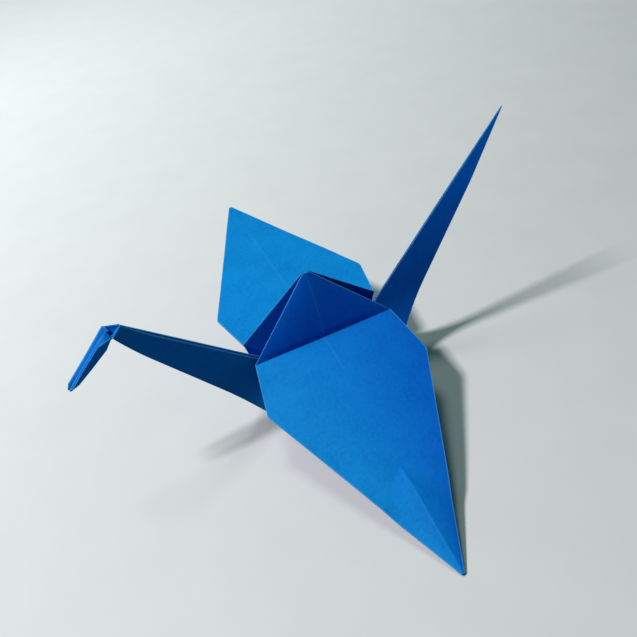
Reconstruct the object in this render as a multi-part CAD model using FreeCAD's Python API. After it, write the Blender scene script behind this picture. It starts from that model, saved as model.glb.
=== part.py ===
import FreeCAD
import Part
import os
from math import acos, atan2, cos, hypot, radians, sin, sqrt, tan

# A paper crane folded from one square sheet, standing on the four lower corners of its body.
# Every outline follows from the half diagonal of the sheet and from the angles that halving
# a corner gives (22.5 and 11.25 degrees). +Z is up, -X points to the head, +X to the tail,
# -Y is the front wing, and the origin is in the middle of the ground the crane covers.

# the sheet
sheet_side = 150.0
paper = 0.10
slit_width = 0.30
fold_radius = 0.16

# how far each fold is opened, in degrees
body_spread_angle = 14.0
front_wing_angle = 17.6
back_wing_angle = -2.0
neck_rise_angle = 43.6
neck_turn_angle = 7.2
tail_rise_angle = 45.9
tail_turn_angle = 0.2
head_drop_angle = 36.0
head_turn_angle = 3.4

# where the folds are made
foot_depth = 37.1
head_fold_from_body = 56.4
front_fold_run = 0.5
back_fold_run = 3.0
body_top_blunt = 0.9
wing_tip_blunt = 0.9
tail_tip_blunt = 0.5

# how far the layers of the neck and the tail stand apart, and how far out the feet spread them
neck_half_gap = 0.45
neck_flare = 20.0
tail_half_gap = 0.9
tail_tip_half_gap = 0.05
tail_flare = 26.0
ridge_half_width = 0.25
tail_tip_thinning = 0.6

# the lines of the head, in shares of its length from the fold to the point of the sheet:
# how far ahead of the fold, how far out from the throat and how far to the side
throat = [(0, 0, 0), (0.163, -0.005, 0), (0.325, -0.049, 0),
          (0.612, -0.043, 0), (0.835, -0.033, 0), (0.921, -0.005, 0)]
front_ridge = [(0.157, 0.005, -0.038), (0.238, 0.049, -0.049), (0.325, 0.081, -0.051),
               (0.65, 0.049, -0.043), (0.878, 0.011, -0.027), (0.943, 0.016, -0.011)]
front_lip = [(0.141, 0.092, 0.005), (0.217, 0.087, 0.011), (0.304, 0.087, 0.008),
             (0.596, 0.06, 0.005), (0.878, 0.033, 0), (0.943, 0.022, 0)]
back_edge = [(0.136, 0.127, 0.065), (0.195, 0.117, 0.076), (0.271, 0.106, 0.076),
             (0.564, 0.076, 0.065), (0.889, 0.06, 0.033), (0.949, 0.033, 0.014)]
groove_share = 0.4

# the folded square, measured from its centre down one half diagonal
half_diagonal = sheet_side / sqrt(2)
quarter = tan(radians(22.5))
eighth = tan(radians(11.25))
petal_depth = half_diagonal * quarter / (1 + quarter)
hinge_depth = half_diagonal * eighth / (1 + eighth)
wing_top = -half_diagonal * quarter
spread = radians(body_spread_angle)
apex_height = foot_depth * cos(spread) + 5 * paper * sin(spread)

X = FreeCAD.Vector(1, 0, 0)
Z = FreeCAD.Vector(0, 0, 1)
apex = FreeCAD.Vector(0, 0, apex_height)


def narrowed(depth):
    """Half the width of the narrowed base at a depth below the centre of the sheet."""
    return eighth * (half_diagonal - depth)


def wing_corner():
    """The widest point of a wing, where its closed edge meets the narrowing crease."""
    edge_slope = petal_depth / (petal_depth - wing_top)
    depth = (eighth * half_diagonal + edge_slope * wing_top) / (edge_slope + eighth)
    return narrowed(depth), depth


def tuck_corner():
    """Where the corner of the petal fold comes to lie on the centre line after narrowing."""
    return half_diagonal - hypot(petal_depth, half_diagonal - petal_depth)


corner_half, corner_depth = wing_corner()
tuck_depth = tuck_corner()
tuck_share = (hinge_depth - corner_depth) / (tuck_depth - corner_depth)
tuck_half = corner_half * (1 - tuck_share)
foot_half = narrowed(foot_depth)


def spine_swing():
    """How far a gusset's spine swings out of the vertical when the body is opened."""
    return atan2(1, cos(spread)) - acos(1 / sqrt(1 + cos(spread) ** 2))


def spine_end_depth(rise):
    """Depth of the inner end of a reverse fold that lifts a point to the given rise."""
    return foot_depth - foot_half * tan(radians((90 - rise) / 2))


def polygon(points):
    return Part.Face(Part.makePolygon(list(points) + [points[0]]))


def plate(points, normal, low, high):
    """A flat layer from low to high along the normal above the outline."""
    return polygon([p + normal * low for p in points]).extrude(normal * (high - low))


def facet(points):
    """One layer of paper centred on the outline."""
    normal = (points[1] - points[0]).cross(points[2] - points[0])
    normal.normalize()
    return plate(points, normal, -paper / 2, paper / 2)


def fold(start, end, radius=fold_radius):
    """The narrow bar that rounds off a fold between two points."""
    along = end - start
    along.normalize()
    aside = along.cross(FreeCAD.Vector(0.31, 0.22, 0.93))
    aside.normalize()
    across = along.cross(aside)
    ring = []
    for step in range(6):
        turn = radians(60 * step + 11)
        ring.append(start + aside * (radius * cos(turn)) + across * (radius * sin(turn)))
    return polygon(ring).extrude(end - start)


def tri(a, b, c):
    return polygon([a, b, c])


def channel(sections):
    """A solid through sections of seven points, the form of two sheets joined in a ridge."""
    faces = []
    for near, far in zip(sections, sections[1:]):
        for i in range(7):
            j = (i + 1) % 7
            faces.append(tri(near[i], near[j], far[j]))
            faces.append(tri(near[i], far[j], far[i]))
    for ring in (sections[0], sections[-1]):
        for a, b, c in ((0, 1, 2), (0, 2, 3), (0, 3, 6), (3, 4, 6), (4, 5, 6)):
            faces.append(tri(ring[a], ring[b], ring[c]))
    shell = Part.makeShell(faces)
    shell.sewShape()
    solid = Part.makeSolid(shell)
    if solid.Volume < 0:
        solid.reverse()
    return solid


def section(ridge, left_edge, right_edge, side, full=1.0):
    """Seven points of a folded strip: a ridge and two edges, each side four layers thick."""
    thick = 4 * paper * full
    half = ridge_half_width * full
    left_gap = (ridge - left_edge).dot(side)
    right_gap = (right_edge - ridge).dot(side)
    grow = thick - half
    start = grow / (grow + half + (left_gap + right_gap) / 2)
    inner = ridge + ((left_edge + right_edge) * 0.5 - ridge) * start
    return [
        ridge - side * half, left_edge - side * thick, left_edge,
        inner,
        right_edge, right_edge + side * thick, ridge + side * half,
    ]


def on_panel(way, across, depth):
    """A point of the front (way -1) or back (way +1) panel of the body."""
    return apex + X * across + FreeCAD.Vector(0, way * sin(spread), -cos(spread)) * depth


def body_panel(way):
    """Front or back of the body: one layer to the apex and the pressed flaps below the wing."""
    normal = FreeCAD.Vector(0, way * cos(spread), sin(spread))
    centre = spine_end_depth((neck_rise_angle + tail_rise_angle) / 2)
    blunt = body_top_blunt

    def at(across, depth):
        return on_panel(way, across, depth)

    face = plate([at(-blunt, blunt), at(blunt, blunt), at(hinge_depth, hinge_depth),
                  at(foot_half, foot_depth), at(0, centre), at(-foot_half, foot_depth),
                  at(-hinge_depth, hinge_depth)], normal, -paper, 0)
    top = hinge_depth + 4 * paper
    flap = plate([at(-narrowed(top), top), at(narrowed(top), top), at(foot_half, foot_depth),
                  at(0, centre), at(-foot_half, foot_depth)], normal, 0, 2 * paper)
    parts = [face, flap, fold(at(-blunt, blunt), at(blunt, blunt))]
    for hand in (-1, 1):
        line = hand * slit_width / 2
        parts.append(plate([at(hand * narrowed(top), top), at(hand * tuck_half, top),
                            at(line, tuck_depth), at(line, centre),
                            at(hand * foot_half, foot_depth)], normal, 2 * paper, 5 * paper))
        parts.append(fold(at(hand * blunt, blunt), at(hand * hinge_depth, hinge_depth)))
        parts.append(fold(at(hand * hinge_depth, hinge_depth), at(hand * foot_half, foot_depth)))
    return parts


def wing(way, droop):
    """One wing: a whole top layer, two halves that meet below it, and the tucked corners."""
    tilt = radians(droop)
    out = FreeCAD.Vector(0, way * cos(tilt), -sin(tilt))
    normal = FreeCAD.Vector(0, way * sin(tilt), cos(tilt))
    root = on_panel(way, 0, hinge_depth)
    reach = hinge_depth - wing_top
    corner = hinge_depth - corner_depth
    tip = reach - wing_tip_blunt
    tip_half = wing_tip_blunt * corner_half / (reach - corner)

    def at(across, away):
        return root + X * across + out * away

    parts = [plate([at(-hinge_depth, 0), at(hinge_depth, 0), at(corner_half, corner),
                    at(tip_half, tip), at(-tip_half, tip), at(-corner_half, corner)],
                   normal, -paper, 0)]
    for hand in (-1, 1):
        line = hand * slit_width / 2
        slit_tip = reach - slit_width / 2 * (reach - corner) / corner_half
        if slit_tip < tip:
            end = [at(line, slit_tip)]
        else:
            end = [at(hand * tip_half, tip), at(line, tip)]
        parts.append(plate([at(line, 0), at(hand * hinge_depth, 0), at(hand * corner_half, corner)]
                           + end, normal, -2 * paper, -paper))
        parts.append(plate([at(hand * tuck_half, 0), at(hand * hinge_depth, 0),
                            at(hand * corner_half, corner)], normal, -4 * paper, -2 * paper))
    parts.append(fold(at(-hinge_depth, 0) - normal * paper, at(hinge_depth, 0) - normal * paper))
    return parts


def body_top():
    """The small flat left where the four ridges of the body meet."""
    corners = [on_panel(way, hand * body_top_blunt, body_top_blunt)
               for way, hand in ((-1, -1), (-1, 1), (1, 1), (1, -1))]
    return plate(corners, Z, -paper / 2, paper / 2)


def spine_point(way, depth):
    """A point of the gusset's spine at the neck (way -1) or the tail (way +1)."""
    swing = spine_swing()
    return apex + FreeCAD.Vector(way * sin(swing), 0, -cos(swing)) * depth


def gusset(way, rise):
    """The two halves of the inward fold that joins front and back of the body."""
    top = spine_point(way, body_top_blunt * cos(spread) / cos(spine_swing()))
    spine = spine_point(way, spine_end_depth(rise))
    parts = [fold(top, spine)]
    for side in (-1, 1):
        start = on_panel(side, way * body_top_blunt, body_top_blunt)
        shoulder = on_panel(side, way * hinge_depth, hinge_depth)
        foot = on_panel(side, way * foot_half, foot_depth)
        parts += [facet([start, shoulder, spine, top]), facet([shoulder, foot, spine])]
        parts += [fold(shoulder, spine), fold(foot, spine)]
    return parts


def point_frame(way, rise, turn):
    """Directions along, beside and below a neck or tail that points to way."""
    lift, swing = radians(rise), radians(turn)
    along = FreeCAD.Vector(way * cos(lift) * cos(swing), way * cos(lift) * sin(swing), sin(lift))
    side = FreeCAD.Vector(-sin(swing), cos(swing), 0)
    below = along.cross(side)
    if below.z > 0:
        below = below * -1
    return along, side, below


def strip_sections(way, rise, turn, shares, gaps, flare, ridge_end, edge_ends, thinning, corners):
    """Sections of the neck or the tail from its feet towards its end."""
    start = spine_end_depth(rise)
    base = spine_point(way, start)
    along, side, below = point_frame(way, rise, turn)
    length = half_diagonal - start
    first = length - foot_half / eighth

    def edge_point(hand, edge_at, gap):
        return (base + along * edge_at + below * (eighth * (length - edge_at))
                + side * (hand * gap))

    sections = []
    for share in shares:
        near_end = max(0.0, 4 * share - 3)
        gap = gaps[0] + (gaps[1] - gaps[0]) * near_end
        edges = []
        for hand, edge_end in zip((-1, 1), edge_ends):
            edge_at = first + (edge_end - first) * share
            to_foot = on_panel(hand, way * foot_half, foot_depth) - edge_point(hand, first, gaps[0])
            fade = max(0.0, 1 - (edge_at - first) / flare) ** 2
            edge = edge_point(hand, edge_at, gap) + to_foot * fade
            if corners:
                to_corner = corners[hand] - edge_point(hand, edge_end, gaps[1])
                edge += to_corner * max(0.0, 5 * share - 4) ** 2
            edges.append(edge)
        sections.append(section(base + along * (ridge_end * share), edges[0], edges[1], side,
                                1 - thinning * near_end))
    return sections


def head_sections():
    """The tip of the neck turned inside out and down: its ridge lies at the throat."""
    start = spine_end_depth(neck_rise_angle)
    along = point_frame(-1, neck_rise_angle, neck_turn_angle)[0]
    bend = spine_point(-1, start) + along * head_fold_from_body
    length = half_diagonal - start - head_fold_from_body
    ahead, beside, out = point_frame(-1, -head_drop_angle, head_turn_angle)
    out = out * -1
    thick = 4 * paper

    def place(point):
        return bend + (ahead * point[0] + out * point[1] + beside * point[2]) * length

    sections = []
    for low, ridge, lip, far in zip(throat, front_ridge, front_lip, back_edge):
        low, ridge, lip, far = place(low), place(ridge), place(lip), place(far)
        full = min(1.0, (far - lip).dot(beside) / thick)
        sections.append([
            low - beside * ridge_half_width * full, ridge, lip,
            low + ((lip + far) * 0.5 - low) * groove_share,
            far, far + beside * thick * full, low + beside * ridge_half_width * full,
        ])
    return sections


def neck():
    """The neck, whose end holds the first section of the head between its layers."""
    side = point_frame(-1, neck_rise_angle, neck_turn_angle)[1]
    head_start = head_sections()[0]
    shares = [(step / 14) ** 1.6 for step in range(15)]
    edge_ends = (head_fold_from_body + front_fold_run, head_fold_from_body + back_fold_run)
    corners = {-1: head_start[1] + side * (2 * paper), 1: head_start[4] - side * paper}
    return channel(strip_sections(-1, neck_rise_angle, neck_turn_angle, shares,
                                  (neck_half_gap, neck_half_gap), neck_flare,
                                  head_fold_from_body, edge_ends, 0, corners))


def tail():
    """The tail, which narrows to its tip."""
    end = half_diagonal - spine_end_depth(tail_rise_angle) - tail_tip_blunt
    shares = [(step / 16) ** 1.6 for step in range(17)]
    return channel(strip_sections(1, tail_rise_angle, tail_turn_angle, shares,
                                  (tail_half_gap, tail_tip_half_gap), tail_flare,
                                  end, (end, end), tail_tip_thinning, None))


pieces = body_panel(-1) + body_panel(1)
pieces += wing(-1, front_wing_angle) + wing(1, back_wing_angle)
pieces += gusset(-1, neck_rise_angle) + gusset(1, tail_rise_angle)
pieces += [body_top(), neck(), tail(), channel(head_sections())]
crane = pieces[0].multiFuse(pieces[1:]).removeSplitter()
box = crane.BoundBox
crane.translate(FreeCAD.Vector(-box.Center.x, -box.Center.y, -box.ZMin))
print("apex at", round(-box.Center.x, 3), round(-box.Center.y, 3), round(apex_height - box.ZMin, 3))
box = crane.BoundBox
print("solids", len(crane.Solids), "faces", len(crane.Faces), "valid", crane.isValid())
print("size", round(box.XLength, 1), round(box.YLength, 1), round(box.ZLength, 1))
print("low", round(box.XMin, 1), round(box.YMin, 1), round(box.ZMin, 2), "volume", round(crane.Volume))

os.makedirs("parts", exist_ok=True)
solid = crane.Solids[0] if len(crane.Solids) == 1 else crane
solid.exportStep("parts/folded_sheet.step")
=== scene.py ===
# %% [markdown]
# # A paper crane on a pale table
# This notebook dresses one folded crane. The crane is a single square of blue origami paper,
# folded the classic way: two wings, a hollow body, a neck with a turned-down head and a tail.
# The measured form comes in from the frame, and the paper made here keeps to it.

# %% Load the measured form
from math import acos, atan2, cos, hypot, radians, sin, sqrt, tan

import bpy
import numpy as np
from mathutils import Matrix, Vector


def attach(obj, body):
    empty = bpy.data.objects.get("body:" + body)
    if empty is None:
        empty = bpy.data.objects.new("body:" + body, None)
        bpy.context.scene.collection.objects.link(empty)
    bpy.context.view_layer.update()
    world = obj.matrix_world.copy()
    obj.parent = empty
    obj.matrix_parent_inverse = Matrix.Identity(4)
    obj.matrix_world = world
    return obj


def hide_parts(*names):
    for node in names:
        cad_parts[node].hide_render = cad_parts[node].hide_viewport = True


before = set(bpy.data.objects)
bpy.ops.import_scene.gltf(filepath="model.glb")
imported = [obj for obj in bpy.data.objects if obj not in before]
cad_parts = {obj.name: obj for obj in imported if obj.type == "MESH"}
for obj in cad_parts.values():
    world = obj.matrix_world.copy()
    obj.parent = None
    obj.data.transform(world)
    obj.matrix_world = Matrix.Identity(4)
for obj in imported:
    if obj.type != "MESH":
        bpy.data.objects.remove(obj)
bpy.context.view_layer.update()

scene = bpy.context.scene

# %% [markdown]
# ## The camera
# The photo was taken by hand from above and in front, with the phone turned a little.
# A camera can be aimed by eye, or turned with three angles. Here it gets a right and a back
# direction, because a fit to the corners of the folds in the photo gives just those.

# %% Place the camera
camera_place = (-0.035710, -0.129925, 0.128929)
camera_right = Vector((0.90059, -0.40342, -0.16181))
camera_back = Vector((-0.22241, -0.74755, 0.62586))
camera_lens = 40.95


def set_camera():
    """Put the camera where the photo was taken from."""
    data = bpy.data.cameras.new("phone_camera")
    data.sensor_width = 36
    data.lens = camera_lens
    data.clip_start = 0.005
    camera = bpy.data.objects.new("phone_camera", data)
    scene.collection.objects.link(camera)
    up = camera_back.cross(camera_right).normalized()
    right = up.cross(camera_back).normalized()
    turn = Matrix((right, up, camera_back.normalized())).transposed()
    camera.matrix_world = Matrix.Translation(camera_place) @ turn.to_4x4()
    scene.camera = camera
    scene.view_settings.view_transform = "Standard"
    return camera


camera = set_camera()
print("camera at", [round(v, 4) for v in camera.matrix_world.translation], "lens", camera.data.lens)

# %% [markdown]
# ## The folded square
# Every crease of a crane halves an angle, so all its corners follow from the side of the sheet.
# The values below are in millimetres and degrees, as in the measured form.
# We could measure each corner in the photo, but then the folds would not close on each other.
# So only the amounts by which the folds stand open are read from the photo.

# %% Work out the creases
sheet_side = 150.0
paper = 0.10
body_spread = radians(14.0)
front_droop = radians(17.6)
back_droop = radians(-2.0)
neck_rise = radians(43.6)
neck_turn = radians(7.2)
tail_rise = radians(45.9)
tail_turn = radians(0.2)
head_drop = radians(36.0)
head_turn = radians(3.4)
foot_depth = 37.1
slit_half = 0.15
top_blunt = 0.9

half_diagonal = sheet_side / sqrt(2)
quarter = tan(radians(22.5))
eighth = tan(radians(11.25))
petal_depth = half_diagonal * quarter / (1 + quarter)
hinge_depth = half_diagonal * eighth / (1 + eighth)
wing_reach = hinge_depth + half_diagonal * quarter
edge_slope = petal_depth / (petal_depth + half_diagonal * quarter)
corner_depth = (eighth * half_diagonal - edge_slope * half_diagonal * quarter) / (edge_slope + eighth)
corner_half = eighth * (half_diagonal - corner_depth)
corner_away = hinge_depth - corner_depth
tuck_depth = half_diagonal - hypot(petal_depth, half_diagonal - petal_depth)
tuck_half = corner_half * (1 - corner_away / (tuck_depth - corner_depth))
foot_half = eighth * (half_diagonal - foot_depth)
spine_swing = atan2(1, cos(body_spread)) - acos(1 / sqrt(1 + cos(body_spread) ** 2))
neck_start = foot_depth - foot_half * tan((radians(90) - neck_rise) / 2)
tail_start = foot_depth - foot_half * tan((radians(90) - tail_rise) / 2)
apex = np.array([1.726, -1.404, 36.152])
across = np.array([1.0, 0.0, 0.0])
print("wing", round(wing_reach, 1), "long and", round(2 * corner_half, 1), "wide")

# %% [markdown]
# ## How a layer of paper is built
# A layer lies between two curves, such as a ridge and an edge. Lines are drawn from one curve to
# the other, and the layer gets its real thickness, so cut edges show as they do on paper.
# A modifier could thicken a flat sheet, but the folds would then swell past their true place.
# Each point keeps its distance from the nearest fold or edge, in millimetres, because folded paper
# wears lighter along them, and the finish also paints a highlight there. It keeps a share of painted
# shade too, as the photo shows the steep faces deeper than plain light does. A point far from every fold
# gets far_off.

# %% Make the layer builder
far_off = 9.0
# Shares of painted shade, darkening the body's panels and folded-in sides, the near wing and the tail.
panel_painted_shade = 1.0
wing_painted_shade = 0.8
tail_painted_shade = 0.8


class Paper:
    """Gathers the layers of the sheet before they become one mesh."""

    def __init__(self):
        self.points = []
        self.faces = []
        self.edge = []
        self.soft = []
        self.shade_share = []

    def add(self, grid, edge, soft, thick, shade_share=0.0):
        """Add one layer: a grid of points, its distances from the folds and the way through it."""
        rows, cols = grid.shape[:2]
        count = rows * cols
        first = len(self.points)
        lower = grid + thick
        self.points.extend(grid.reshape(-1, 3))
        self.points.extend(lower.reshape(-1, 3))
        self.edge.extend(np.tile(edge.reshape(-1), 2))
        self.soft.extend(np.tile(soft.reshape(-1), 2))
        # Each layer also carries a share of painted shade, which darkens its colour.
        self.shade_share.extend(np.tile((edge * 0 + shade_share).reshape(-1), 2))
        place = first + np.arange(count).reshape(rows, cols)
        for i in range(rows - 1):
            for j in range(cols - 1):
                a, b, c, d = place[i, j], place[i, j + 1], place[i + 1, j + 1], place[i + 1, j]
                self.faces.append((a, b, c, d))
                self.faces.append((a + count, d + count, c + count, b + count))
        ring = list(place[0, :-1]) + list(place[:-1, -1]) + list(place[-1, :0:-1]) + list(place[:0:-1, 0])
        for a, b in zip(ring, ring[1:] + ring[:1]):
            self.faces.append((b, a, a + count, b + count))


def spaced(points, count, power=1.0):
    """Points evenly spread over a line through the given corners."""
    corners = np.array(points, dtype=float)
    steps = np.linalg.norm(np.diff(corners, axis=0), axis=1)
    reach = np.concatenate([[0.0], np.cumsum(steps)])
    at = reach[-1] * np.linspace(0, 1, count) ** power
    return np.stack([np.interp(at, reach, corners[:, k]) for k in range(3)], axis=1)


def ruled(near, far, cols, border=0.02):
    """A grid of points on straight lines from the near curve to the far curve."""
    share = np.linspace(0, 1, cols - 2)
    share = np.concatenate([[0.0], border + share * (1 - 2 * border), [1.0]])
    return near[:, None, :] * (1 - share)[None, :, None] + far[:, None, :] * share[None, :, None]


def no_fold(grid):
    """The same distance everywhere, for a layer with no fold near it."""
    return np.full(grid.shape[:2], far_off)


def from_lines(grid, lines):
    """Distance of each point of a grid from the nearest of some straight lines."""
    best = no_fold(grid)
    for start, end in lines:
        start, end = np.array(start), np.array(end)
        run = end - start
        share = np.clip(((grid - start) @ run) / (run @ run), 0, 1)
        gap = np.linalg.norm(grid - start - share[..., None] * run, axis=2)
        best = np.minimum(best, gap)
    return best


sheet = Paper()
print("layer builder ready")

# %% [markdown]
# ## The body
# Pulling the wings apart opens the body into a small tent, with the centre of the square on top.
# Two helpers say where a point of the flat sheet ends up on the tent. All later pieces start
# from these two, so neighbours share their corners.

# %% Place points on the body
def on_panel(way, x, depth):
    """A point of the body's front (way -1) or back (way 1)."""
    slope = np.array([0.0, way * sin(body_spread), -cos(body_spread)])
    return apex + across * x + slope * depth


def spine_end(way, depth):
    """The inner end of the reverse fold below the neck (way -1) or the tail (way 1)."""
    return apex + np.array([way * sin(spine_swing), 0.0, -cos(spine_swing)]) * depth


print("shoulder at", [round(float(v), 2) for v in on_panel(-1, hinge_depth, hinge_depth)])

# %% [markdown]
# ## The front and the back of the body
# Above the wing a panel is one layer, and below it the flaps lie pressed in several layers.
# A flat triangle would do, but blown-up paper swells a little between its ridges and dips again
# into the fold at the wing. So the grid is pushed out by less than a millimetre.

# %% Build the front and the back
swell = 2.2
lip_height = 0.35
lip_width = 2.4


def panel_swell(grid):
    """How far the panel swells between the ridges, and dips again into the fold at the wing."""
    down = (apex[2] - grid[..., 2]) / cos(body_spread)
    aside = np.clip(np.abs(grid[..., 0] - apex[0]) / down, 0, 1)
    share = np.clip(down / hinge_depth, 0, 1)
    lip = np.clip((hinge_depth - down) / lip_width, 0, 1)
    middle = swell * share * (1 - share) * (1 - aside ** 2)
    return middle + lip_height * lip * (2 - lip) * (1 - aside ** 4) * share


def upper_panel(way, hand, normal):
    """Half of the single layer above the wing, from the centre crease to the ridge."""
    side = [on_panel(way, hand * top_blunt, top_blunt), on_panel(way, hand * hinge_depth, hinge_depth)]
    middle = [on_panel(way, 0, top_blunt), on_panel(way, 0, hinge_depth)]
    grid = ruled(spaced(middle, 60), spaced(side, 60), 22)
    soft, edge = from_lines(grid, [middle]), from_lines(grid, [side])
    grid = grid + normal * panel_swell(grid)[..., None]
    # The panel is darkened with painted shade.
    sheet.add(grid, edge, soft, -normal * paper, panel_painted_shade)


def lower_flaps(way, hand, normal):
    """Half of the layers pressed on one another below the wing, the inner one first."""
    notch = (neck_start + tail_start) / 2
    foot = on_panel(way, hand * foot_half, foot_depth)
    side = [on_panel(way, hand * hinge_depth, hinge_depth), foot]
    middle = [on_panel(way, 0, hinge_depth), on_panel(way, 0, notch)]
    grid = ruled(spaced(middle, 24), spaced(side, 24), 22)
    sheet.add(grid, from_lines(grid, [side]), no_fold(grid), -normal * paper)

    start = hinge_depth + 4 * paper
    outer = [on_panel(way, hand * eighth * (half_diagonal - start), start), foot]
    inner = [on_panel(way, hand * slit_half, start), on_panel(way, hand * slit_half, notch)]
    grid = ruled(spaced(inner, 24), spaced(outer, 24), 18) + normal * 2 * paper
    sheet.add(grid, from_lines(grid, [outer, inner]), no_fold(grid), -normal * 2 * paper)

    inner = [on_panel(way, hand * tuck_half, start), on_panel(way, hand * slit_half, tuck_depth), inner[1]]
    lift = normal * 5 * paper
    grid = ruled(spaced(inner, 30), spaced(outer, 30), 18) + lift
    lines = [(a + lift, b + lift) for a, b in (outer, inner[:2], inner[1:])]
    sheet.add(grid, from_lines(grid, lines), no_fold(grid), -normal * 3 * paper)


for way in (-1, 1):
    normal = np.array([0.0, way * cos(body_spread), sin(body_spread)])
    for hand in (-1, 1):
        upper_panel(way, hand, normal)
        lower_flaps(way, hand, normal)
print("panel points", len(sheet.points))

# %% [markdown]
# ## The folded-in sides and the top
# On the left and right the paper is folded inward to a spine, which the neck and the tail carry
# on. Each side is two halves, front and back, that meet there. The four ridges end in a tiny
# flat at the top, because folded paper can't come to a needle point.

# %% Build the folded-in sides and the top
def gusset(way, depth):
    """The inward fold beside the neck or the tail, front half and back half."""
    spine = spine_end(way, depth)
    top = spine_end(way, top_blunt * cos(body_spread) / cos(spine_swing))
    for side in (-1, 1):
        start = on_panel(side, way * top_blunt, top_blunt)
        shoulder = on_panel(side, way * hinge_depth, hinge_depth)
        foot = on_panel(side, way * foot_half, foot_depth)
        through = np.array([0.0, -side * paper, 0.0])
        upper = ruled(spaced([top, spine], 30), spaced([start, shoulder], 30), 14)
        lower = ruled(spaced([spine, spine + (foot - spine) * 0.001], 20), spaced([shoulder, foot], 20), 14)
        # The folded-in sides are darkened with painted shade too.
        sheet.add(upper, from_lines(upper, [(start, shoulder)]), no_fold(upper), through, panel_painted_shade)
        sheet.add(lower, from_lines(lower, [(shoulder, foot)]), no_fold(lower), through, panel_painted_shade)


def body_top():
    """The tiny flat that is left where the four ridges meet."""
    rows = [spaced([on_panel(way, -top_blunt, top_blunt), on_panel(way, top_blunt, top_blunt)], 6)
            for way in (-1, 1)]
    grid = ruled(rows[0], rows[1], 4)
    sheet.add(grid, np.zeros(grid.shape[:2]), no_fold(grid), np.array([0.0, 0.0, -paper]))


body_top()
gusset(-1, neck_start)
gusset(1, tail_start)
print("body points", len(sheet.points))

# %% [markdown]
# ## The wings
# A wing is one corner of the square. Seen from above it is a single layer with the faint line of
# the square's diagonal. Its two long edges are folds, and below it two halves meet on the centre
# line, with a tucked corner at each side of the root.
# The tip is curled a little along its centre line, which leaves one half lighter than the other.
# A bend tool could do that, but a formula keeps the curl out of the root, where the wing is flat.

# %% Shape the wing's surface
tip_cut = 0.92
curl_start = 36
curl = 0.22
front_arch = 0.0034
back_droop_share = 0.03
wave_height = 0.10


def wing_bend(way, x, away):
    """How far the wing's surface stands off its plane, in millimetres."""
    half = corner_half * np.clip((wing_reach - away) / (wing_reach - corner_away), 0, 1)
    from_root = np.clip(away / 12, 0, 1)
    toward_tip = np.clip((away - curl_start - 0.9 * np.abs(x)) / 5, 0, 1)
    if way < 0:
        roof = curl * (half * 0.5 - np.abs(x)) * toward_tip
        arch = front_arch * (half ** 2 * 0.35 - x ** 2) * (1 - toward_tip)
    else:
        roof = -back_droop_share * np.abs(x)
        arch = 0
    wave = wave_height * np.sin(away * 0.21 + x * 0.13 + way) * np.sin(x * 0.19 - 0.6)
    return (roof + arch + wave * np.clip((wing_reach - away) / 9, 0, 1)) * from_root


print("tip stands off by", round(float(wing_bend(-1, 0.0, wing_reach - tip_cut)), 3), "mm")

# %% [markdown]
# ## The layers of a wing
# We lay a wing flat first, as it would lie on the table before it is spread, and then turn it
# down by its angle. The lower halves and the tucked corners are laid one paper below another.

# %% Build the wings
def wing(way, droop):
    """One wing with its top layer, the two halves below it and the tucked corners."""
    out = np.array([0.0, way * cos(droop), -sin(droop)])
    normal = np.array([0.0, way * sin(droop), cos(droop)])
    root = on_panel(way, 0, hinge_depth)
    tip_away = wing_reach - tip_cut
    tip_half = tip_cut * corner_half / (wing_reach - corner_away)

    def lay(corners, centre, high, low, rows, cols, folds, creases):
        """Lay one layer flat between its centre line and its corners, then turn it down."""
        flat_near = spaced([(a, b, 0) for a, b in centre], rows)
        flat_far = spaced([(a, b, 0) for a, b in corners], rows)
        flat = ruled(flat_near, flat_far, cols)
        x, away = flat[..., 0], flat[..., 1]
        lift = wing_bend(way, x, away) + high
        grid = root + across * x[..., None] + out * away[..., None] + normal * lift[..., None]
        edge = from_lines(flat, [((*a, 0), (*b, 0)) for a, b in folds])
        soft = from_lines(flat, [((*a, 0), (*b, 0)) for a, b in creases]) if creases else no_fold(flat)
        half = corner_half * np.clip((wing_reach - away) / (wing_reach - corner_away), 0.05, 1)
        # Painted shade on the near wing, weak at its left edge and strong at its right.
        shade_share = wing_painted_shade * np.clip(0.5 + 0.55 * x / half, 0.12, 1) if way < 0 else 0.0
        sheet.add(grid, edge, soft, normal * (low - high), shade_share)

    for hand in (-1, 1):
        shoulder, corner = (hand * hinge_depth, 0), (hand * corner_half, corner_away)
        tip = (hand * tip_half, tip_away)
        creases = [((0, 0), (0, 10)), ((0, 40), (0, tip_away))] if way < 0 else [((0, 6), (0, 44))]
        lay([shoulder, corner, tip], [(0, 0), (0, tip_away)], 0, -paper, 62, 24,
            [(shoulder, corner), (corner, tip)], creases)
        slit = [(hand * slit_half, 0), (hand * slit_half, tip_away)]
        lay([shoulder, corner, tip], slit, -paper, -2 * paper, 40, 14,
            [(shoulder, corner), (corner, tip), slit], [])
        lay([shoulder, corner], [(hand * tuck_half, 0), corner], -2 * paper, -4 * paper, 16, 14,
            [(shoulder, corner), ((hand * tuck_half, 0), corner)], [])


wing(-1, front_droop)
wing(1, back_droop)
print("with wings", len(sheet.points))

# %% [markdown]
# ## The neck and the tail
# Both are points of the square that were folded up between the layers of the body.
# Each is a narrow strip folded over, with the closed ridge on top and the open edges below.
# Near the body they spread out to the feet. A plain cone would hide this spreading, so each
# side is drawn between two curves, the ridge and the open edge.

# %% Draw the curves of a strip
neck_fold = 56.4
fold_run_front = 0.5
fold_run_back = 3.0
ridge_half = 0.25
strip_thick = 4 * paper


def strip_frame(way, rise, turn):
    """Unit vectors along, beside and below a strip."""
    along = np.array([way * cos(rise) * cos(turn), way * cos(rise) * sin(turn), sin(rise)])
    side = np.array([-sin(turn), cos(turn), 0.0])
    below = np.cross(along, side)
    return along, side, below * -np.sign(below[2])


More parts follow.
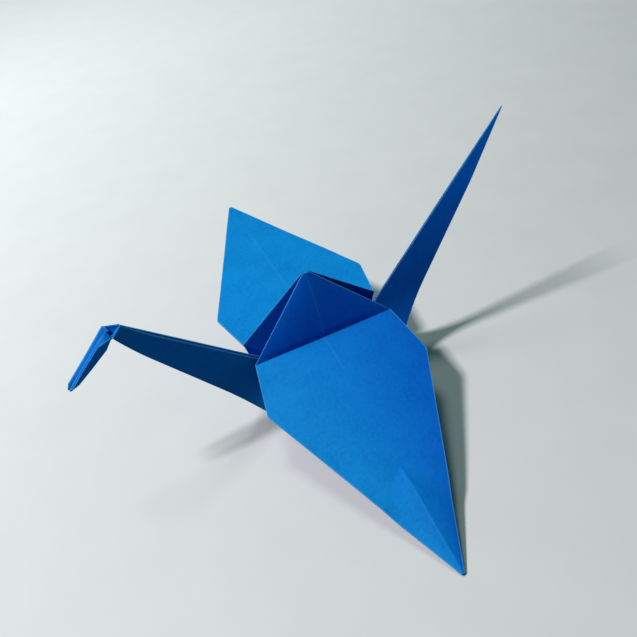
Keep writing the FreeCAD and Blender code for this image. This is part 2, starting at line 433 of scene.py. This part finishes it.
def strip_curves(way, rise, turn, start, gaps, flare, ends, thinning=0.0, corners=None):
    """Ridge and edge curves of the strip's front and back, and how thick it is along them."""
    base = spine_end(way, start)
    along, side, below = strip_frame(way, rise, turn)
    length = half_diagonal - start
    first = length - foot_half / eighth
    share = np.linspace(0, 1, 70) ** 1.5
    near_end = np.clip(4 * share - 3, 0, 1)
    full = 1 - thinning * near_end
    gap = gaps[0] + (gaps[1] - gaps[0]) * near_end
    curves = {}
    for hand in (-1, 1):
        ridge_end, edge_end = ends[hand]
        foot = on_panel(hand, way * foot_half, foot_depth)
        edge_at = first + (edge_end - first) * share
        fade = np.clip(1 - (edge_at - first) / flare, 0, None) ** 2
        ridge = base + along * (ridge_end * share)[:, None]
        depth = eighth * (length - edge_at)
        straight = base + along * edge_at[:, None] + below * depth[:, None] + side * (hand * gap)[:, None]
        offset = foot - (base + along * first + below * foot_half + side * (hand * gaps[0]))
        edge = straight + offset * fade[:, None]
        if corners is not None:
            edge = edge + (corners[hand] - edge[-1]) * (np.clip(share * 5 - 4, 0, 1) ** 2)[:, None]
        curves[hand] = (ridge, edge)
    return curves, side, full[:, None]


print("neck starts", round(neck_start, 2), "mm and tail", round(tail_start, 2), "mm below the top")

# %% [markdown]
# ## The tail
# The tail is the plainest strip: it runs out straight to the corner of the square.
# The front and back are laid first, then a narrow band closes them over the ridge.

# %% Build the tail
tail_half_gap = 0.9
tail_tip_half_gap = 0.05
tail_flare = 26.0
tail_thinning = 0.6
tail_blunt = 0.5


def add_strip(curves, side, full, shade_share, roll=0.0):
    """Lay the front and back of a strip. The front can roll over a little at the ridge."""
    tops = {}
    for hand in (-1, 1):
        ridge, edge = curves[hand]
        down = edge - ridge
        down = down / np.linalg.norm(down, axis=1)[:, None]
        rolled = roll * np.clip(12 * np.linspace(1, 0, len(ridge)), 0, 1)[:, None] if hand < 0 else 0.0
        tops[hand] = ridge + side * hand * (ridge_half * full + 0.15 * rolled) + down * rolled
        grid = ruled(tops[hand], edge + side * hand * strip_thick * full, 12)
        near = np.linalg.norm(grid - grid[:, :1], axis=2)
        far = np.linalg.norm(grid - grid[:, -1:], axis=2)
        through = -side * hand * strip_thick * 0.9 * full
        sheet.add(grid, np.minimum(near, far), no_fold(near), through[:, None, :], shade_share)
    over = ruled(tops[-1], tops[1], 6)
    along_down = curves[-1][1] - curves[-1][0]
    sheet.add(over, np.zeros(over.shape[:2]), no_fold(over),
              0.02 * along_down[:, None, :] * np.ones((1, 6, 1)))


tail_end = half_diagonal - tail_start - tail_blunt
tail = strip_curves(1, tail_rise, tail_turn, tail_start, gaps=(tail_half_gap, tail_tip_half_gap),
                    flare=tail_flare, ends={-1: (tail_end, tail_end), 1: (tail_end, tail_end)},
                    thinning=tail_thinning)
# The tail is darkened with painted shade.
add_strip(*tail, tail_painted_shade)
print("with the tail", len(sheet.points))

# %% [markdown]
# ## The neck
# The neck is folded down before its tip, and its far half runs on further than its near half.
# So its last corners are taken from the head. Its ridge is rolled over a little, as in the photo,
# where a thin band along it catches the light.

# %% Build the neck
neck_half_gap = 0.45
neck_flare = 20.0
ridge_roll = 0.6
near_corner = (2.9, 0.1, -0.7)
far_corner = (2.5, 2.35, 1.2)


def head_point(ahead, out, aside):
    """A point of the head, measured from the fold at the top of the neck."""
    along, side, below = strip_frame(-1, neck_rise, neck_turn)
    fold = spine_end(-1, neck_start) + along * neck_fold
    level = cos(head_drop)
    forward = np.array([-level * cos(head_turn), -level * sin(head_turn), -sin(head_drop)])
    beside = np.array([-sin(head_turn), cos(head_turn), 0.0])
    outward = np.cross(beside, forward)
    outward = outward * np.sign(outward[2])
    return fold + forward * ahead + outward * out + beside * aside


neck = strip_curves(-1, neck_rise, neck_turn, neck_start, gaps=(neck_half_gap, neck_half_gap),
                    flare=neck_flare, ends={-1: (neck_fold, neck_fold + fold_run_front),
                                            1: (neck_fold, neck_fold + fold_run_back)},
                    corners={-1: head_point(*near_corner), 1: head_point(*far_corner)})
add_strip(*neck, 0.0, ridge_roll)
print("with neck and tail", len(sheet.points))

# %% [markdown]
# ## The head
# The last bit of the neck is turned inside out and down. The ridge now runs along the throat,
# and the open side of the groove looks up and forward, so the inside of its far half is seen.
# It is too small and too uneven for a rule, so a few points are given on each of its lines:
# how far ahead of the fold, how far out from the throat and how far aside, in millimetres.

# %% Draw the lines of the head
throat = [(0, 0, 0), (3, -0.1, 0), (6, -0.9, 0), (11.3, -0.8, 0), (15.4, -0.6, 0), (17.0, -0.1, 0)]
front_ridge = [near_corner, (4.4, 0.9, -0.9), (6, 1.5, -0.95),
               (12, 0.9, -0.8), (16.2, 0.2, -0.5), (17.4, 0.3, -0.2)]
front_lip = [(2.6, 1.7, 0.1), (4.0, 1.6, 0.2), (5.6, 1.6, 0.15),
             (11, 1.1, 0.1), (16.2, 0.6, 0.0), (17.4, 0.4, 0.0)]
back_edge = [far_corner, (3.6, 2.15, 1.4), (5.0, 1.95, 1.4),
             (10.4, 1.4, 1.2), (16.4, 1.1, 0.6), (17.5, 0.6, 0.25)]


def head_curve(corners, count=36):
    """A line through points of the head, with as many points on each stretch."""
    points = np.array([head_point(*c) for c in corners])
    at = np.linspace(0, len(points) - 1, count)
    return np.stack([np.interp(at, range(len(points)), points[:, k]) for k in range(3)], axis=1)


head_reach = np.linalg.norm(head_curve(throat)[-1] - head_curve(throat)[0])
print("head reaches", round(float(head_reach), 1), "mm")

# %% [markdown]
# ## The two halves of the head
# Four narrow layers make the head: the near half, its curled lip, the far half bent up beside the
# lip, and the far half's outer face. Two closed halves would look like a stick, and the curled
# lip is what tells that it is paper.

# %% Build the head
near_half_gap = 0.2
head_thick = 0.3


def head():
    """The turned-down head: the front half with its curled lip and the far half behind it."""
    side = np.array([-sin(head_turn), cos(head_turn), 0.0])
    low, ridge = head_curve(throat), head_curve(front_ridge)
    lip, far = head_curve(front_lip), head_curve(back_edge)
    bend = head_curve([(2.1, 1.35, 0.1)] + [(a, b - 0.2, c + 0.15) for a, b, c in front_lip])
    brow = head_curve([(2.0, 1.9, 0.96)] + back_edge)
    gap = side * near_half_gap
    down = head_point(0, -head_thick, 0) - head_point(0, 0, 0)
    back = side * head_thick
    # The near half has no painted shade; the curled lip, the far half bent up beside it and the far half's
    # outer face get painted shade.
    for near, other, through, shade_share in ((low - gap, ridge, back, 0.0), (ridge, lip, down, 0.6),
                                       (bend, brow, down, 0.6), (low + gap, far, back, 0.75)):
        grid = ruled(near, other, 9)
        start = np.linalg.norm(grid - grid[:, :1], axis=2)
        end = np.linalg.norm(grid - grid[:, -1:], axis=2)
        sheet.add(grid, np.minimum(start, end), no_fold(start), through, shade_share)


head()
print("with the head", len(sheet.points))

# %% [markdown]
# ## One mesh for one sheet
# The real crane is one square, so all layers become one mesh, which stands for the measured
# sheet. The distances and the share of painted shade go with it as attributes, where the finish can read
# them.

# %% Turn the layers into one mesh
def make_crane():
    """One mesh of all the layers, which stands for the measured sheet."""
    mesh = bpy.data.meshes.new("folded_paper")
    points = np.array(sheet.points) * 0.001
    mesh.from_pydata(points.tolist(), [], sheet.faces)
    for name, values in (("from_edge", sheet.edge), ("from_crease", sheet.soft), ("painted_shade", sheet.shade_share)):
        layer = mesh.attributes.new(name, "FLOAT", "POINT")
        layer.data.foreach_set("value", np.array(values, dtype=np.float32))
    mesh.validate()
    mesh.update()
    crane = bpy.data.objects.new("folded_paper", mesh)
    scene.collection.objects.link(crane)
    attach(crane, "root")
    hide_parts("folded_sheet")
    return crane


crane = make_crane()
print("crane has", len(crane.data.polygons), "faces")

# %% [markdown]
# ## How a finish is put together
# A finish is a chain of nodes, which could be drawn by hand in the shader editor. Each helper
# here adds one node and gives back its output, so that a finish reads like a recipe.

# %% Make the node helpers
def feed(tree, socket, value):
    """Set a socket to a value, or link an output to it."""
    if isinstance(value, (tuple, float)):
        socket.default_value = value
    else:
        tree.links.new(value, socket)


def mix(tree, share, first, second, blend="MIX"):
    """Blend two colours."""
    node = tree.nodes.new("ShaderNodeMix")
    node.data_type = "RGBA"
    node.blend_type = blend
    feed(tree, node.inputs[0], share)
    feed(tree, node.inputs[6], first)
    feed(tree, node.inputs[7], second)
    return node.outputs[2]


def remap(tree, value, low, high, to_low=0.0, to_high=1.0):
    """Stretch a range of values to another, and stop at its ends."""
    node = tree.nodes.new("ShaderNodeMapRange")
    node.inputs["From Min"].default_value = low
    node.inputs["From Max"].default_value = high
    node.inputs["To Min"].default_value = to_low
    node.inputs["To Max"].default_value = to_high
    tree.links.new(value, node.inputs["Value"])
    return node.outputs["Result"]


def maths(tree, operation, *values):
    """Work out one number from others."""
    node = tree.nodes.new("ShaderNodeMath")
    node.operation = operation
    for socket, value in zip(node.inputs, values):
        feed(tree, socket, value)
    return node.outputs["Value"]


def own_place(tree):
    """The place on the object, in metres."""
    return tree.nodes.new("ShaderNodeTexCoord").outputs["Object"]


def noise(tree, scale, detail, rough=0.5):
    """Soft random values. A larger scale gives smaller spots."""
    node = tree.nodes.new("ShaderNodeTexNoise")
    node.inputs["Scale"].default_value = scale
    node.inputs["Detail"].default_value = detail
    node.inputs["Roughness"].default_value = rough
    tree.links.new(own_place(tree), node.inputs["Vector"])
    return node.outputs["Fac"]


def attribute(tree, name):
    """A value that was kept with each point of the mesh."""
    node = tree.nodes.new("ShaderNodeAttribute")
    node.attribute_name = name
    return node.outputs["Fac"]


def camera_sees(tree):
    """One where the camera itself looks, and nought for light that bounces."""
    return tree.nodes.new("ShaderNodeLightPath").outputs["Is Camera Ray"]


def new_finish(name, roughness):
    """A new material with its node tree and its shader."""
    mat = bpy.data.materials.new(name)
    mat.use_nodes = True
    shader = mat.node_tree.nodes["Principled BSDF"]
    shader.inputs["Roughness"].default_value = roughness
    return mat, mat.node_tree, shader


print("node helpers ready")

# %% [markdown]
# ## The paper
# Origami paper is dyed on one side: a strong, slightly greenish blue with a dull face.
# Fibres leave it a little uneven, and along folds the dye cracks and shows lighter, with a painted
# highlight added on the fold and cut edges. Steep faces are darkened with painted shade.
# A picture of paper would show its edges on so many layers. Noise in the object's own space has
# no seams, and the attributes put the wear, the painted highlight and the painted shade where they belong.

# %% Make the paper finish
deep_blue = (0.001, 0.188, 0.570, 1)
light_blue = (0.004, 0.244, 0.665, 1)
fibre_blue = (0.006, 0.275, 0.690, 1)
# The tint that painted shade multiplies into the colour.
painted_shade_tint = (0.22, 0.42, 0.86, 1)
crease_blue = (0.05, 0.35, 0.75, 1)
# The lighter blue of wear and of a painted highlight along fold and cut edges.
wear_and_highlight_blue = (0.10, 0.42, 0.80, 1)


def paper_finish():
    """Dull blue dyed paper with fibres, cloudy colour, light worn folds with a painted highlight on the
    edges, and painted shade on steep faces.
    """
    mat, tree, shader = new_finish("paper", 0.62)
    shader.inputs["Specular IOR Level"].default_value = 0.05
    clouds = remap(tree, noise(tree, 110, 6, 0.72), 0.32, 0.68)
    paper_colour = mix(tree, clouds, deep_blue, light_blue)
    fibres = remap(tree, noise(tree, 1300, 3, 0.7), 0.38, 0.62, 0, 0.6)
    paper_colour = mix(tree, fibres, paper_colour, fibre_blue)
    # Painted shade: the colour is multiplied by the tint by the share kept on the mesh, darkening the steep
    # faces.
    paper_colour = mix(tree, attribute(tree, "painted_shade"), paper_colour, painted_shade_tint, "MULTIPLY")
    crease = remap(tree, attribute(tree, "from_crease"), 0.10, 0.35, 0.12, 0)
    paper_colour = mix(tree, crease, paper_colour, crease_blue)
    # Along fold and cut edges: lighter wear plus a painted highlight.
    wear_and_highlight = remap(tree, attribute(tree, "from_edge"), 0.06, 0.20, 0.6, 0)
    paper_colour = mix(tree, wear_and_highlight, paper_colour, wear_and_highlight_blue)
    tree.links.new(paper_colour, shader.inputs["Base Color"])
    bump = tree.nodes.new("ShaderNodeBump")
    bump.inputs["Strength"].default_value = 0.25
    bump.inputs["Distance"].default_value = 0.00006
    tree.links.new(noise(tree, 900, 5, 0.65), bump.inputs["Height"])
    tree.links.new(bump.outputs["Normal"], shader.inputs["Normal"])
    return mat


crane.data.materials.append(paper_finish())
print("finish", crane.data.materials[0].name)

# %% [markdown]
# ## The table
# The crane stands on a pale, slightly uneven surface, which is lit lighter far off on the left and
# darker at the near right. More lamps could make it so, but they would spoil the light on the
# crane. So this light and shade are painted into the table's tone, which is also darker toward the
# desk lamp, and a painted glow lightens the far part for the camera.
# Bounced light finds the table dim, because in the photo little light comes up from below.

# %% Lay the table
# A shaded and a lit tone of the table, for its painted light and shade.
shaded_table_tone = (0.635, 0.618, 0.625, 1)
lit_table_tone = (0.97, 0.96, 0.97, 1)
bounce_tone = (0.12, 0.18, 0.30, 1)
# Colour and strength of a painted glow that lightens the far table.
painted_glow_tone = (0.97, 1.0, 1.0, 1)
painted_glow_strength = 0.145


def table_finish():
    """Pale and a little uneven for the camera, with painted light and shade across it and a painted glow
    far off, and dim for light that bounces.
    """
    mat, tree, shader = new_finish("table_top", 0.85)
    split = tree.nodes.new("ShaderNodeSeparateXYZ")
    tree.links.new(own_place(tree), split.inputs["Vector"])
    x, y = split.outputs["X"], split.outputs["Y"]
    seen = camera_sees(tree)
    # Painted light and shade: lighter far off on the left, darker at the near right and toward the desk
    # lamp.
    off_the_lamp = remap(tree, x, -0.36, -0.10)
    slant = remap(tree, maths(tree, "MULTIPLY_ADD", x, -1.35, y), -0.20, 0.40)
    pale = maths(tree, "MULTIPLY", slant, off_the_lamp)
    tone = mix(tree, pale, shaded_table_tone, lit_table_tone)
    grain = remap(tree, noise(tree, 60, 6), 0.3, 0.75, 0.96, 1)
    tone = mix(tree, 1.0, tone, grain, "MULTIPLY")
    tree.links.new(mix(tree, seen, bounce_tone, tone), shader.inputs["Base Color"])
    # A painted glow on the far part, for the camera only.
    painted_glow = maths(tree, "MULTIPLY", remap(tree, y, 0.03, 0.30, 0, painted_glow_strength), seen)
    shader.inputs["Emission Color"].default_value = painted_glow_tone
    tree.links.new(maths(tree, "MULTIPLY", painted_glow, off_the_lamp), shader.inputs["Emission Strength"])
    return mat


def table():
    """The pale surface under the crane."""
    bpy.ops.mesh.primitive_plane_add(size=3, location=(0, 0, 0))
    top = bpy.context.object
    top.name = "table_top"
    top.data.materials.append(table_finish())
    return top


table_top = table()
print("table", table_top.name)

# %% [markdown]
# ## The lamps and the room
# The shadows tell where the lamps are. A small lamp gives the sharp shadow, a wider and weaker
# one the soft second shadow. Their strength is set so that the dye renders about as it is written.
# The room adds a weak greenish light. Only the camera sees its pale wall.

# %% Light the room
def light(name, place, size, watts, colour):
    """A square lamp that looks at the crane."""
    data = bpy.data.lights.new(name, "AREA")
    data.energy = watts
    data.size = size
    data.color = colour
    lamp = bpy.data.objects.new(name, data)
    scene.collection.objects.link(lamp)
    lamp.location = place
    lamp.rotation_euler = (Vector((0, 0, 0.02)) - lamp.location).to_track_quat("-Z", "Y").to_euler()
    return lamp


desk_lamp = light("desk_lamp", place=(-0.58, -0.015, 0.90), size=0.13, watts=9.5,
                  colour=(1.0, 0.98, 1.0))
ceiling_lamp = light("ceiling_lamp", place=(-0.09, 0.26, 1.17), size=0.28, watts=2.7,
                     colour=(0.82, 1.0, 0.90))
print("lamps", desk_lamp.name, ceiling_lamp.name)

# %% Give the room its weak light
room_light = (0.020, 0.076, 0.074, 1)
pale_wall = (0.66, 0.73, 0.74, 1)


def room():
    """A weak greenish light all round, with a pale wall that only the camera sees."""
    world = bpy.data.worlds.new("room")
    scene.world = world
    world.use_nodes = True
    tree = world.node_tree
    background = tree.nodes["Background"]
    background.inputs["Strength"].default_value = 1.0
    tree.links.new(mix(tree, camera_sees(tree), room_light, pale_wall), background.inputs["Color"])
    return world


print("room", room().name)
